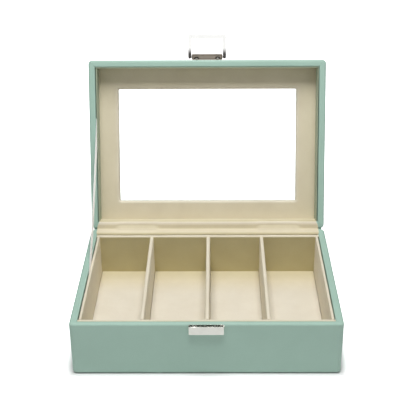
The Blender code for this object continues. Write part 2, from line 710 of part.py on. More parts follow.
def build_lid():
    """The lid's skin, boards, glass, panel and linings, and the hasp's bracket."""
    inner_skin = grown(OUTER, -SKIN)
    mouth_back = grown(LID_MOUTH, SKIN)
    window_back = grown(WINDOW, SKIN)
    panel_face = LID_RIM + RECESS
    glass_foot = panel_face + PANEL + TOUCH
    lap_level = glass_foot + GLASS + TOUCH
    section = [(LID_MOUTH, LID_RIM + TURN_DOWN)]
    section += quarter_round(LID_MOUTH, LID_RIM, RIM_INNER_RADIUS, outward=-1, up=-1)
    section += quarter_round(OUTER, LID_RIM, RIM_RADIUS, up=-1)[::-1]
    section += quarter_round(OUTER, LID_TOP, RIM_RADIUS)
    section += quarter_round(WINDOW, LID_TOP, RIM_INNER_RADIUS, outward=-1)[::-1]
    section += [(WINDOW, lap_level), (window_back, lap_level)]
    section += quarter_round(window_back, LID_TOP - SKIN, RIM_INNER_RADIUS - SKIN, outward=-1)
    section += quarter_round(inner_skin, LID_TOP - SKIN, RIM_RADIUS - SKIN)[::-1]
    section += quarter_round(inner_skin, LID_RIM + SKIN, RIM_RADIUS - SKIN, up=-1)
    section += quarter_round(mouth_back, LID_RIM + SKIN, RIM_INNER_RADIUS - SKIN, outward=-1, up=-1)[::-1]
    section += [(mouth_back, LID_RIM + TURN_DOWN)]
    cover = carried_section("lid_cover", section, LEATHERETTE, LID)

    notches = hinge_notches("lid", LID, 1)
    hinge_holes = build_hinge_side("lid", LID, 1)
    bracket_foot = LID_RIM + BRACKET_LIFT
    bracket_holes = face_screws(
        "bracket_screw",
        bracket_foot + BRACKET_HEIGHT / 2,
        BRACKET_SCREW_HEAD_RADIUS,
        BRACKET_SCREW_HEAD,
        LID,
    )
    room_end = LID_RIM + TURN_DOWN + OVERRUN
    lining_room = lining_cutter("lid_lining_room", WALL, LID_RIM - OVERRUN, room_end, LID)
    combine(cover, "DIFFERENCE", lining_room, *notches, bracket_holes)
    hinge_lining("lid_hinge_lining", WALL, LID_RIM, RECESS - TOUCH, 1, LID)

    foot, head = LID_RIM + BOARD_OUT, LID_TOP - BOARD_OUT
    room = rounded_block("lid_board_room", BOARD_ROOM, foot, head, RIM_RADIUS - BOARD_OUT, True, LID)
    front_in, rear_in = FRONT + BOARD_IN, REAR - BOARD_IN
    side_out, side_in = SIDE - BOARD_OUT, SIDE - BOARD_IN
    front = slab(
        "lid_front_board",
        (-side_out, FRONT + BOARD_OUT, foot),
        (side_out, front_in, head),
        BOARD,
        LID,
        BOARD_EASE,
    )
    rear = slab(
        "lid_rear_board",
        (-side_out, rear_in, foot),
        (side_out, REAR - BOARD_OUT, head),
        BOARD,
        LID,
        BOARD_EASE,
    )
    combine(front, "INTERSECT", room)
    combine(front, "DIFFERENCE", bracket_holes)
    combine(rear, "INTERSECT", room)
    combine(rear, "DIFFERENCE", *notches, hinge_holes)
    for side, way in (("left", -1), ("right", 1)):
        across = sorted((way * side_in, way * side_out))
        low = (across[0], front_in + TOUCH, foot)
        high = (across[1], rear_in - TOUCH, head)
        combine(slab(f"lid_{side}_board", low, high, BOARD, LID, BOARD_EASE), "INTERSECT", room)

    board_edge = grown(OUTER, -BOARD_IN - TOUCH)
    jamb = grown(window_back, TOUCH)
    rebate = grown(WINDOW, GLASS_LAP + TOUCH)
    top_board = [(board_edge, glass_foot), (board_edge, head), (jamb, head), (jamb, lap_level)]
    top_board += [(rebate, lap_level), (rebate, glass_foot)]
    carried_section("lid_top_board", top_board, BOARD, LID)
    panel = [(board_edge, panel_face), (board_edge, panel_face + PANEL), (WINDOW, panel_face + PANEL)]
    panel += quarter_round(WINDOW, panel_face, PANEL_EDGE_RADIUS, outward=-1, up=-1)
    carried_section("lid_panel", panel, VELVET, LID)
    pane = [point[:2] for point in ring(grown(WINDOW, GLASS_LAP), 0)]
    glass = flat_piece(
        "glass_pane", [pane], GLASS / 2, Matrix(), (0, 0, glass_foot + GLASS / 2), CLEAR_GLASS, LID
    )
    ease(glass, GLASS_EASE, 1)

    lining_out = SIDE - WALL - SLOT
    lining_front = FRONT + WALL + TOUCH
    low_z, high_z = LID_RIM + LINING_SETBACK, panel_face - TOUCH
    slab(
        "lid_front_lining",
        (-lining_out, lining_front, low_z),
        (lining_out, lining_front + LINING, high_z),
        CLOTH,
        LID,
    )
    for side, way in (("left", -1), ("right", 1)):
        across = sorted((way * lining_out, way * (lining_out - LINING)))
        slab(
            f"lid_{side}_lining",
            (across[0], lining_front + LINING + TOUCH, low_z),
            (across[1], REAR - WALL - TOUCH, high_z),
            CLOTH,
            LID,
        )

    half = CATCH_WIDTH / 2
    bracket = open_box(
        "hasp_bracket",
        (-half, FRONT - TOUCH - BRACKET_DEPTH, bracket_foot),
        (half, FRONT - TOUCH, bracket_foot + BRACKET_HEIGHT),
        False,
        CHROME,
        LID,
    )
    combine(bracket, "DIFFERENCE", bracket_holes, pegs("peg_holes", TOUCH, OVERRUN, LID))


def pegs(name, wider, longer, parent):
    """The two pegs on which the hasp turns, or their holes, for a Boolean."""
    outer = CATCH_WIDTH / 2 + LOOP_AIR + LOOP_LEG / 2
    reach = LOOP_LEG / 2 + LOOP_AIR + PLATE + PEG_STICK_OUT + longer
    radius = PEG_RADIUS + wider
    profile = [(0, 0), (radius, 0), (radius, reach), (0, reach)]
    spots = [((way * outer, PIVOT.y, PIVOT.z), (-way, 0, 0)) for way in (-1, 1)]
    return turned(name, profile, spots, parent=parent)


def build_hasp_loop():
    """The chrome loop: two legs with pegs at their ends, and a bar that passes under the catch."""
    inner = CATCH_WIDTH / 2 + LOOP_AIR
    outer = inner + LOOP_LEG
    catch_foot = RIM - CATCH_DROP - CATCH_HEIGHT
    bar_top = -(PIVOT.z - catch_foot + LOOP_UNDER)
    bar_foot = bar_top - LOOP_BAR
    end = LOOP_LEG / 2
    outline = round_corners(
        [
            (outer, end, end),
            (outer, bar_foot, LOOP_OUTER_CORNER),
            (-outer, bar_foot, LOOP_OUTER_CORNER),
            (-outer, end, end),
            (-inner, end, end),
            (-inner, bar_top, LOOP_INNER_CORNER),
            (inner, bar_top, LOOP_INNER_CORNER),
            (inner, end, end),
        ]
    )
    loop = flat_piece("hasp_loop", [outline], LOOP_THICKNESS / 2, TURN_TO_XZ, PIVOT, CHROME, HASP)
    ease(smooth(loop), LOOP_EASE, 1)
    combine(loop, "UNION", pegs("loop_pegs", 0, 0, HASP))


build_base()
build_tray()
build_hinge_pins()
build_ribbon()
build_lid()
build_hasp_loop()
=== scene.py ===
"""The looks of an eyeglasses organizer: a box in mint leatherette with a beige velvet tray, a lid with a
glass window, a cloth hinge lining, a white stay ribbon and a chrome hasp.

Metres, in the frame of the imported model: +Z up, the front faces -Y, the box stands open.
The case's lengths are the model's own, repeated here by name.
"""

import json
import math

import bpy
import numpy as np
from mathutils import Matrix, Vector


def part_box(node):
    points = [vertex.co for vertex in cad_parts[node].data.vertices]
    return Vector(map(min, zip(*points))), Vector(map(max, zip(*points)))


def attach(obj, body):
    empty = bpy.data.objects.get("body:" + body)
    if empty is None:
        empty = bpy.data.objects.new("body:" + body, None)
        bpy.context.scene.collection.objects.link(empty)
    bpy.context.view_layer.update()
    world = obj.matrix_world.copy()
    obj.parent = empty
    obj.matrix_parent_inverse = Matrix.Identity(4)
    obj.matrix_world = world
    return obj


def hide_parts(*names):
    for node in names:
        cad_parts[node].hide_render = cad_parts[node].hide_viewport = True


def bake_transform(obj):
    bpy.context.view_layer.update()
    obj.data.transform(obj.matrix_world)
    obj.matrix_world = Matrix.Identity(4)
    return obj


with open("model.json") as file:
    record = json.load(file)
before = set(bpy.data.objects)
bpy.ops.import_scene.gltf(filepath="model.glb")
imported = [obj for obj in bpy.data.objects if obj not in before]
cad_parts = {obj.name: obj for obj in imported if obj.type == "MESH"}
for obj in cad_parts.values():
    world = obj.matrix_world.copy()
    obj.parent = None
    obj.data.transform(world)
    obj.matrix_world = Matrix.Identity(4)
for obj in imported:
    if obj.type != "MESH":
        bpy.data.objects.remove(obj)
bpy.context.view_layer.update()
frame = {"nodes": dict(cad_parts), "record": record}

MM = 0.001

# The case, as the model has it
SIDE = 140.0 * MM
FRONT, REAR = -100.2 * MM, 100.2 * MM
RIM = 62.2 * MM
SEAM = 1.2 * MM
LID_RIM = RIM + SEAM
LID_TOP = LID_RIM + 31.0 * MM
HINGE = Vector((0, REAR, RIM + SEAM / 2))
OPEN = math.radians(109.3)
WALL = 8.0 * MM
FRONT_WALL = 6.0 * MM
REAR_WALL = 11.3 * MM
CORNER = 4.5 * MM
MOUTH_CORNER = 1.0 * MM
RIM_ROUND = 2.5 * MM
MOUTH_ROUND = 1.5 * MM
FOOT_ROUND = 1.4 * MM
FOOT = 1.3 * MM
TURN_DOWN = 15.0 * MM
TURN_UNDER = 12.0 * MM
SKIN = 0.9 * MM
RECESS = 22.0 * MM
WINDOW_SIDE, WINDOW_FRONT, WINDOW_REAR = 32.9 * MM, 34.3 * MM, 30.8 * MM
WINDOW_CORNER = 1.4 * MM
WINDOW_LEVEL = LID_RIM + 28.4 * MM

# The velvet tray and the panel in the lid
WALL_CROWN = 1.6 * MM
CARD_CROWN = 0.9 * MM
CROWN_STEPS = 10
VELVET_SPACING = 2.5 * MM
REAR_WALL_RISE = 0.4 * MM
CARD_PAINTED_SHADE_AT = 25.0 * MM  # from here to the rear the cards' tops get painted shade
PILE_TOUCH = 0.6 * MM
WAVE = 0.14 * MM
WAVE_RUNS = np.array([6.1, 4.3, 7.3, 3.9, 17.0]) * MM
WAVE_PHASE = 1.3
PANEL_LEVEL = LID_RIM + RECESS
PANEL_THICK = 4.0 * MM
PANEL_MARGIN = 7.1 * MM
PANEL_ROUND = 3.2 * MM
PANEL_STEPS = 90
PANEL_RINGS = 11

# Painted shade and painted light on velvet by where a face turns: 1 is full painted shade, -1 full painted
# light
# walls: painted shade on faces turned to the front, a little on the sides, painted light on tops
WALL_PAINTED_SHADE = {"front": 1.0, "side": 0.1, "top": -0.5}
# the right wall's sides get painted light instead
RIGHT_WALL_PAINTED_SHADE = {"front": 1.0, "side": -0.35, "top": -0.5}
# cards: painted light on top turning to painted shade towards the rear, painted shade on their faces
CARD_PAINTED_SHADE = {"front": 0.5, "side": 0.2, "top": -1.0, "rear": 0.5}
# painted light on the panel's edge round the window
PANEL_EDGE_PAINTED_LIGHT = (-0.2, -1.0)

# Cloth over the hinge, proud of the leatherette that it is glued to
LINING_HALF = 132.9 * MM
LINING_PROUD = 0.35 * MM
LINING_THICK = 0.4 * MM
BASE_EDGE_ROUND = 2.2 * MM
BASE_CROWN = 0.15 * MM
BASE_CROWN_AT = 0.6 * REAR_WALL
BASE_CROWN_ROUND = 9.0 * MM
BEAD_PROUD = 0.70 * MM
BEAD_OVER_WALL = 1.1 * MM
BEAD_ROUND = 3.2 * MM
BEAD_DEPTH = 3.5 * MM
BEAD_FOOT_ROUND = 3.0 * MM
BEHIND_BEAD = 8.0 * MM
BEHIND_BEAD_ROUND = 4.0 * MM
FOLD_TOP = 13.0 * MM
FOLD_TOP_ROUND = 1.5 * MM
FOLD_OVER_WALL = 1.9 * MM
FOLD_END = 16.5 * MM
FOLD_END_ROUND = 2.0 * MM
CLOTH_END_AIR = 0.3 * MM
MITRE = 3.0 * MM
MITRE_AT, MITRE_RUN = RIM + 2.0 * MM, 9.0 * MM
WEB = 0.5 * MM
WEB_AT_HINGE = 4.1 * MM
WEB_ROUND_MORE = 1.0 * MM
CLOTH_BLEND = 2.1 * MM
HINGE_SPREAD = 85.0 * MM
HINGE_HALF = 20.0 * MM
HINGE_FADE = 9.0 * MM
LINING_COLUMNS = 181
CLOTH_STEPS = 160
BEND_STEPS = 14
# Painted shade (up to 1) and painted light (down to -1) on the cloth, at distances along it from the hinge,
# the base's side negative: darker at the base rim's edge and behind the bead, paler on the bead
CLOTH_PAINTED_SHADE_AT = np.array([-26, -12.5, -11, -9.8, -8.6, -1.5, 0.5, 4, 5.5, 8, 9.8, 12, 14, 31]) * MM
CLOTH_PAINTED_SHADE = (-0.35, 0.3, 0.6, 0.5, -0.1, -0.15, 0.2, 0.1, -0.8, -0.9, 0.9, 0.8, 0.2, 0.0)

# Leatherette strip behind the hinge
SPINE_HALF = 137.0 * MM
SPINE_REACH = 13.0 * MM
SPINE_ROUND = 3.2 * MM
SPINE_PROUD = 0.6 * MM
SPINE_BLEND = 4.0 * MM
SPINE_BEND_STEPS = 16
SPINE_STEPS = 48
SPINE_COLUMNS = 120

# Stay ribbon
RIBBON_X = -131.55 * MM
RIBBON_HALF = 7.5 * MM
RIBBON_THICK = 0.4 * MM
RIBBON_BASE_REACH = 81.0 * MM
RIBBON_LID_REACH = 112.0 * MM
RIBBON_TUCK = 18.0 * MM
RIBBON_SAG = 3.0 * MM
RIBBON_STEPS = 90
RIBBON_SECTION_STEPS = 16

# Leatherette folded at the corners
FOLD_DEPTH = 0.30 * MM
FOLD_WIDTH = 0.28 * MM
FLAP_RISE = 0.16 * MM
FLAP_WIDTH = 3.0 * MM
ARC_STEPS = 8
CORNER_STEPS = 28
CORNER_CLOSENESS = 1.8
FINEST_CORNER = 0.4 * MM
FINEST_FOLD = 1.2 * MM
SHARP = math.radians(50)

# The loop: the heights at rest between which its legs darken, a painted reflection
LEG_PAINTED_REFLECTION_FROM, LEG_PAINTED_REFLECTION_TO = 263.0 * MM, 255.5 * MM
LEG_PAINTED_REFLECTION = (74, 72, 70)

# Depths of the surfaces' bumps
LEATHER_GRAIN = 0.05 * MM
PILE_HEIGHT = 0.12 * MM
SATIN_RIB = 0.03 * MM
BOARD_GRAIN = 0.08 * MM

# What a cloth's colour is multiplied by for painted shade, and for painted light on velvet and on lining
PAINTED_SHADE_TINT = (0.78, 0.76, 0.58)
VELVET_PAINTED_LIGHT_TINT = (1.03, 1.06, 1.20)
LINING_PAINTED_LIGHT_TINT = (1.15, 1.17, 1.30)

# The studio
FLOOR_REACH = 6.0
FLOOR_SHADE = (246, 246, 246)
FLOOR_LIFT = 1.7
# within this distance of the case the floor is left darker, a painted contact shadow
PAINTED_CONTACT_SHADOW_WITHIN = 12.0 * MM
GLOW_CENTRE = (0.0, -0.1, 0.0)
GLOW_FROM, GLOW_TO = 0.2, 0.5
ROOM_LIGHT = 0.22
SEEN_LIGHT = 1.0
BRIGHT_SIDE = (0.0, -1.0, 0.15)
MIRRORED_FROM, MIRRORED_TO = 0.5, 0.9
MIRRORED_DARK, MIRRORED_BRIGHT = 0.12, 1.0
OVERHEAD_PLACE = (0.0, -0.25, 1.5)
OVERHEAD_SIZE = (0.6, 0.76)
OVERHEAD_POWER = 19.3
FRONT_PLACE = (0.0, -1.7, 0.9)
FRONT_TARGET = (0.0, 0.0, 0.1)
FRONT_SIZE = (1.6, 1.0)
FRONT_POWER = 0.8

# The camera, as the photograph's perspective gives it
CAMERA_PLACE = (0.0098, -0.8765, 0.5991)
CAMERA_PITCH = math.radians(27.50)
CAMERA_YAW = math.radians(-0.54)
CAMERA_ROLL = math.radians(-0.37)
CAMERA_LENS = 80.07
CAMERA_SENSOR = 36.0
CAMERA_NEAR, CAMERA_FAR = 0.01, 50.0


# Colours and finishes


def linear(colour):
    """8-bit display values as linear light, with full alpha."""
    share = np.array(colour, float) / 255
    light = np.where(share <= 0.04045, share / 12.92, ((share + 0.055) / 1.055) ** 2.4)
    return (*light, 1.0)


def wire(tree, start, end):
    tree.links.new(start, end)


def node(tree, kind, **settings):
    """A shader node; a setting named for one of its sockets is that socket's value."""
    made = tree.nodes.new("ShaderNode" + kind)
    for name, value in settings.items():
        if hasattr(made, name):
            setattr(made, name, value)
        else:
            made.inputs[name.replace("_", " ")].default_value = value
    return made


def new_group(name, inputs, outputs):
    """An empty node group with its sockets: name to (kind, value)."""
    group = bpy.data.node_groups.new(name, "ShaderNodeTree")
    for label, (kind, value) in inputs.items():
        socket = group.interface.new_socket(name=label, in_out="INPUT", socket_type="NodeSocket" + kind)
        socket.default_value = value
    for label, kind in outputs.items():
        group.interface.new_socket(name=label, in_out="OUTPUT", socket_type="NodeSocket" + kind)
    return group, group.nodes.new("NodeGroupInput"), group.nodes.new("NodeGroupOutput")


def blotches_group():
    """Colour that drifts between two shades over the surface, as pile brushed by hand or a dyed skin does."""
    inputs = {
        "Shade": ("Color", (0.5, 0.5, 0.5, 1)),
        "Other Shade": ("Color", (0.6, 0.6, 0.6, 1)),
        "Scale": ("Float", 30.0),
        "Fine Scale": ("Float", 900.0),
        "Fine Share": ("Float", 0.3),
    }
    group, given, out = new_group("blotches", inputs, {"Color": "Color"})
    place = node(group, "TexCoord")
    broad = node(group, "TexNoise", Detail=3.0, Roughness=0.55)
    fine = node(group, "TexNoise", Detail=2.0, Roughness=0.6)
    both = node(group, "Mix", data_type="FLOAT")
    spread = node(group, "MapRange", interpolation_type="SMOOTHSTEP", From_Min=0.35, From_Max=0.65)
    mixed = node(group, "Mix", data_type="RGBA")
    wire(group, place.outputs["Object"], broad.inputs["Vector"])
    wire(group, place.outputs["Object"], fine.inputs["Vector"])
    wire(group, given.outputs["Scale"], broad.inputs["Scale"])
    wire(group, given.outputs["Fine Scale"], fine.inputs["Scale"])
    wire(group, given.outputs["Fine Share"], both.inputs["Factor"])
    wire(group, broad.outputs["Fac"], both.inputs["A"])
    wire(group, fine.outputs["Fac"], both.inputs["B"])
    wire(group, both.outputs["Result"], spread.inputs["Value"])
    wire(group, spread.outputs["Result"], mixed.inputs["Factor"])
    wire(group, given.outputs["Shade"], mixed.inputs[6])
    wire(group, given.outputs["Other Shade"], mixed.inputs[7])
    wire(group, mixed.outputs[2], out.inputs["Color"])
    return group


def grain_group():
    """Height of embossed leather: round pebbles of two sizes, parted by fine creases."""
    inputs = {"Pebble Scale": ("Float", 1100.0), "Crease Share": ("Float", 0.4)}
    group, given, out = new_group("grain", inputs, {"Height": "Float"})
    place = node(group, "TexCoord")
    pebbles = node(group, "TexVoronoi", feature="SMOOTH_F1", Smoothness=0.35)
    creases = node(group, "TexNoise", Scale=700.0, Detail=4.0, Roughness=0.6, Distortion=0.6)
    upside = node(group, "MapRange", From_Min=0.0, From_Max=0.75, To_Min=1.0, To_Max=0.0)
    both = node(group, "Mix", data_type="FLOAT")
    wire(group, place.outputs["Object"], pebbles.inputs["Vector"])
    wire(group, place.outputs["Object"], creases.inputs["Vector"])
    wire(group, given.outputs["Pebble Scale"], pebbles.inputs["Scale"])
    wire(group, pebbles.outputs["Distance"], upside.inputs["Value"])
    wire(group, given.outputs["Crease Share"], both.inputs["Factor"])
    wire(group, upside.outputs["Result"], both.inputs["A"])
    wire(group, creases.outputs["Fac"], both.inputs["B"])
    wire(group, both.outputs["Result"], out.inputs["Height"])
    return group


def pile_group():
    """Height of short pile: fine upright fibres, with broad waves where it is pressed one way or another."""
    inputs = {"Fibre Scale": ("Float", 2600.0), "Wave Scale": ("Float", 60.0), "Wave Share": ("Float", 0.35)}
    group, given, out = new_group("pile", inputs, {"Height": "Float"})
    place = node(group, "TexCoord")
    fibres = node(group, "TexNoise", Detail=2.0, Roughness=0.7)
    waves = node(group, "TexNoise", Detail=3.0, Roughness=0.5)
    both = node(group, "Mix", data_type="FLOAT")
    wire(group, place.outputs["Object"], fibres.inputs["Vector"])
    wire(group, place.outputs["Object"], waves.inputs["Vector"])
    wire(group, given.outputs["Fibre Scale"], fibres.inputs["Scale"])
    wire(group, given.outputs["Wave Scale"], waves.inputs["Scale"])
    wire(group, given.outputs["Wave Share"], both.inputs["Factor"])
    wire(group, fibres.outputs["Fac"], both.inputs["A"])
    wire(group, waves.outputs["Fac"], both.inputs["B"])
    wire(group, both.outputs["Result"], out.inputs["Height"])
    return group


def smudge_group():
    """Roughness of handled metal: polished, with faint wiped patches."""
    inputs = {"Polished": ("Float", 0.1), "Wiped": ("Float", 0.2), "Scale": ("Float", 90.0)}
    group, given, out = new_group("smudges", inputs, {"Roughness": "Float"})
    place = node(group, "TexCoord")
    patches = node(group, "TexNoise", Detail=5.0, Roughness=0.6, Distortion=0.4)
    spread = node(group, "MapRange", From_Min=0.35, From_Max=0.7)
    wire(group, place.outputs["Object"], patches.inputs["Vector"])
    wire(group, given.outputs["Scale"], patches.inputs["Scale"])
    wire(group, patches.outputs["Fac"], spread.inputs["Value"])
    wire(group, given.outputs["Polished"], spread.inputs["To Min"])
    wire(group, given.outputs["Wiped"], spread.inputs["To Max"])
    wire(group, spread.outputs["Result"], out.inputs["Roughness"])
    return group


BLOTCHES = blotches_group()
GRAIN = grain_group()
PILE = pile_group()
SMUDGES = smudge_group()


def finish_named(name, **settings):
    """A new material and its Principled shader, with plain values on the shader's own sockets."""
    made = bpy.data.materials.new(name)
    made.use_nodes = True
    shader = made.node_tree.nodes["Principled BSDF"]
    for label, value in settings.items():
        shader.inputs[label.replace("_", " ")].default_value = value
    return made, made.node_tree, shader


def placed(tree, group, **values):
    """A shared effect in a material, with this material's values."""
    made = node(tree, "Group", node_tree=group)
    for label, value in values.items():
        made.inputs[label.replace("_", " ")].default_value = value
    return made


def bump(tree, shader, height, distance, strength=1.0):
    """Raises the surface by a height, in metres of distance."""
    made = node(tree, "Bump", Strength=strength, Distance=distance)
    wire(tree, height, made.inputs["Height"])
    wire(tree, made.outputs["Normal"], shader.inputs["Normal"])


def leatherette():
    made, tree, shader = finish_named("mint_leatherette", Roughness=0.5, Specular_IOR_Level=0.45)
    colour = placed(
        tree,
        BLOTCHES,
        Shade=linear((160, 190, 176)),
        Other_Shade=linear((165, 195, 181)),
        Scale=22.0,
        Fine_Scale=1100.0,
        Fine_Share=0.45,
    )
    wire(tree, colour.outputs["Color"], shader.inputs["Base Color"])
    grain = placed(tree, GRAIN, Pebble_Scale=1250.0, Crease_Share=0.4)
    bump(tree, shader, grain.outputs["Height"], LEATHER_GRAIN, 0.7)
    rough = node(tree, "MapRange", From_Min=0.2, From_Max=0.9, To_Min=0.6, To_Max=0.42)
    wire(tree, grain.outputs["Height"], rough.inputs["Value"])
    wire(tree, rough.outputs["Result"], shader.inputs["Roughness"])
    return made


def painted_shade_turned(tree, colour, painted_shade_factor, along):
    """A cloth's colour with painted shade and painted light, read from a point attribute: it is multiplied by
    the painted shade's factor as the attribute rises to 1, and by the painted light's factor (along) as it
    falls to -1."""
    turn = node(tree, "Attribute", attribute_name="painted_shade_turn")
    down = node(tree, "MapRange", From_Min=0.0, From_Max=1.0)
    up = node(tree, "MapRange", From_Min=0.0, From_Max=-1.0)
    painted_shade_mix = node(tree, "Mix", data_type="RGBA", blend_type="MULTIPLY")
    pale = node(tree, "Mix", data_type="RGBA", blend_type="MULTIPLY", clamp_result=False)
    painted_shade_mix.inputs[7].default_value = (*painted_shade_factor, 1)
    pale.inputs[7].default_value = (*along, 1)
    wire(tree, turn.outputs["Fac"], down.inputs["Value"])
    wire(tree, turn.outputs["Fac"], up.inputs["Value"])
    wire(tree, down.outputs["Result"], painted_shade_mix.inputs["Factor"])
    wire(tree, up.outputs["Result"], pale.inputs["Factor"])
    wire(tree, colour, painted_shade_mix.inputs[6])
    wire(tree, painted_shade_mix.outputs[2], pale.inputs[6])
    return pale.outputs[2]


def pile_cloth(name, shade, other_shade, wave_share, sheen, pale=VELVET_PAINTED_LIGHT_TINT):
    made, tree, shader = finish_named(
        name,
        Roughness=0.95,
        Specular_IOR_Level=0.15,
        Sheen_Weight=sheen,
        Sheen_Roughness=0.45,
        Sheen_Tint=linear((255, 250, 238)),
    )
    colour = placed(
        tree,
        BLOTCHES,
        Shade=linear(shade),
        Other_Shade=linear(other_shade),
        Scale=38.0,
        Fine_Scale=2200.0,
        Fine_Share=0.55,
    )
    # the cloth's colour gets its painted shade and painted light here
    wire(tree, painted_shade_turned(tree, colour.outputs["Color"], PAINTED_SHADE_TINT, pale), shader.inputs["Base Color"])
    pile = placed(tree, PILE, Wave_Share=wave_share)
    bump(tree, shader, pile.outputs["Height"], PILE_HEIGHT, 0.6)
    return made


def satin():
    """White satin ribbon: fine cross ribs, closely set, over a smooth face."""
    made, tree, shader = finish_named("white_satin", Roughness=0.38, Sheen_Weight=1.0, Sheen_Roughness=0.5)
    place = node(tree, "TexCoord")
    ribs = node(tree, "TexWave", Scale=900.0, Distortion=0.4, Detail=1.0)
    colour = node(tree, "Mix", data_type="RGBA")
    colour.inputs[6].default_value = linear((246, 248, 246))
    colour.inputs[7].default_value = linear((253, 254, 253))
    wire(tree, place.outputs["UV"], ribs.inputs["Vector"])
    wire(tree, ribs.outputs["Fac"], colour.inputs["Factor"])
    wire(tree, colour.outputs[2], shader.inputs["Base Color"])
    bump(tree, shader, ribs.outputs["Fac"], SATIN_RIB)
    return made


def metal(name, colour, polished, wiped):
    made, tree, shader = finish_named(name, Metallic=1.0)
    smudges = placed(tree, SMUDGES, Polished=polished, Wiped=wiped)
    wire(tree, smudges.outputs["Roughness"], shader.inputs["Roughness"])
    tint = placed(
        tree,
        BLOTCHES,
        Shade=linear(colour),
        Other_Shade=linear([channel - 6 for channel in colour]),
        Scale=120.0,
        Fine_Scale=1500.0,
        Fine_Share=0.2,
    )
    wire(tree, tint.outputs["Color"], shader.inputs["Base Color"])
    return made


def loop_with_painted_reflection():
    """Polished chrome of the loop: its legs darken by a smooth step of the height towards the bracket, a
    painted reflection of something dark."""
    made = metal("polished_loop_painted_reflection", (238, 238, 236), 0.05, 0.1)
    tree = made.node_tree
    shader = tree.nodes["Principled BSDF"]
    colour = shader.inputs["Base Color"].links[0].from_socket
    place = node(tree, "TexCoord")
    height = node(tree, "SeparateXYZ")
    share = node(tree, "MapRange", interpolation_type="SMOOTHSTEP", From_Min=LEG_PAINTED_REFLECTION_FROM, From_Max=LEG_PAINTED_REFLECTION_TO)
    # the painted reflection on the legs
    dark = node(tree, "Mix", data_type="RGBA")
    dark.inputs[7].default_value = linear(LEG_PAINTED_REFLECTION)
    wire(tree, place.outputs["Object"], height.inputs[0])
    wire(tree, height.outputs["Z"], share.inputs["Value"])
    wire(tree, share.outputs["Result"], dark.inputs["Factor"])
    wire(tree, colour, dark.inputs[6])
    wire(tree, dark.outputs[2], shader.inputs["Base Color"])
    return made


def window_glass():
    made, tree, shader = finish_named(
        "clear_window_glass", Roughness=0.0, IOR=1.45, Transmission_Weight=1.0, Metallic=0.0
    )
    tint = placed(
        tree,
        BLOTCHES,
        Shade=linear((250, 253, 252)),
        Other_Shade=linear((252, 254, 253)),
        Scale=8.0,
        Fine_Scale=60.0,
        Fine_Share=0.2,
    )
    wire(tree, tint.outputs["Color"], shader.inputs["Base Color"])
    return made


def fibreboard():
    made, tree, shader = finish_named("fibreboard", Roughness=0.85)
    colour = placed(
        tree,
        BLOTCHES,
        Shade=linear((148, 116, 84)),
        Other_Shade=linear((122, 92, 62)),
        Scale=300.0,
        Fine_Scale=1800.0,
        Fine_Share=0.6,
    )
    wire(tree, colour.outputs["Color"], shader.inputs["Base Color"])
    pile = placed(tree, PILE, Fibre_Scale=1500.0, Wave_Share=0.1)
    bump(tree, shader, pile.outputs["Height"], BOARD_GRAIN, 0.5)
    return made


LEATHERETTE = leatherette()
VELVET = pile_cloth("beige_velvet", (216, 206, 180), (223, 214, 189), 0.35, 0.25)
LINING = pile_cloth("beige_lining_cloth", (214, 203, 175), (221, 211, 184), 0.25, 0.15, LINING_PAINTED_LIGHT_TINT)
# the lid's inner walls: their green, darkened and greyed as painted shade of the recess
SAGE_WITH_PAINTED_SHADE = pile_cloth("sage_lining_cloth_painted_shade", (160, 172, 148), (167, 178, 154), 0.25, 0.1)
FELT = pile_cloth("dark_felt", (62, 64, 62), (78, 80, 78), 0.2, 0.1)
SATIN = satin()
CHROME = metal("polished_chrome", (218, 218, 211), 0.06, 0.14)
# the bracket's grey-brown colour is a painted reflection of dark surroundings
BRUSHED_WITH_PAINTED_REFLECTION = metal("brushed_metal_painted_reflection", (152, 144, 133), 0.28, 0.4)
NICKEL = metal("nickel_steel", (176, 174, 170), 0.2, 0.36)
LOOP_WITH_PAINTED_REFLECTION = loop_with_painted_reflection()
# the catch's screws are dark as painted shade inside the catch
DARK_PAINTED_SHADE_STEEL = metal("steel_painted_shade", (38, 38, 38), 0.35, 0.5)
GLASS = window_glass()
BOARD = fibreboard()

SLOT_FINISHES = {
    "leatherette": LEATHERETTE,
    "board": BOARD,
    "lining_cloth": LINING,
    "velvet": VELVET,
    "felt": FELT,
    "satin_ribbon": SATIN,
    "clear_glass": GLASS,
    "chrome": CHROME,
    "steel": NICKEL,
}
OWN_FINISHES = {
    "lid_front_lining": SAGE_WITH_PAINTED_SHADE,
    "lid_left_lining": SAGE_WITH_PAINTED_SHADE,
    "lid_right_lining": SAGE_WITH_PAINTED_SHADE,
    "hasp_bracket": BRUSHED_WITH_PAINTED_REFLECTION,
    "hasp_loop": LOOP_WITH_PAINTED_REFLECTION,
    "catch_screw_1": DARK_PAINTED_SHADE_STEEL,
    "catch_screw_2": DARK_PAINTED_SHADE_STEEL,
}


def dress_model():
    """Gives each node of the model its own finish, or else that of its material slot."""
    for part in frame["record"]["subparts"]:
        finish = OWN_FINISHES.get(part["node"], SLOT_FINISHES[part["material_slot"]])
        for slot in frame["nodes"][part["node"]].material_slots:
            slot.material = finish


# Surfaces


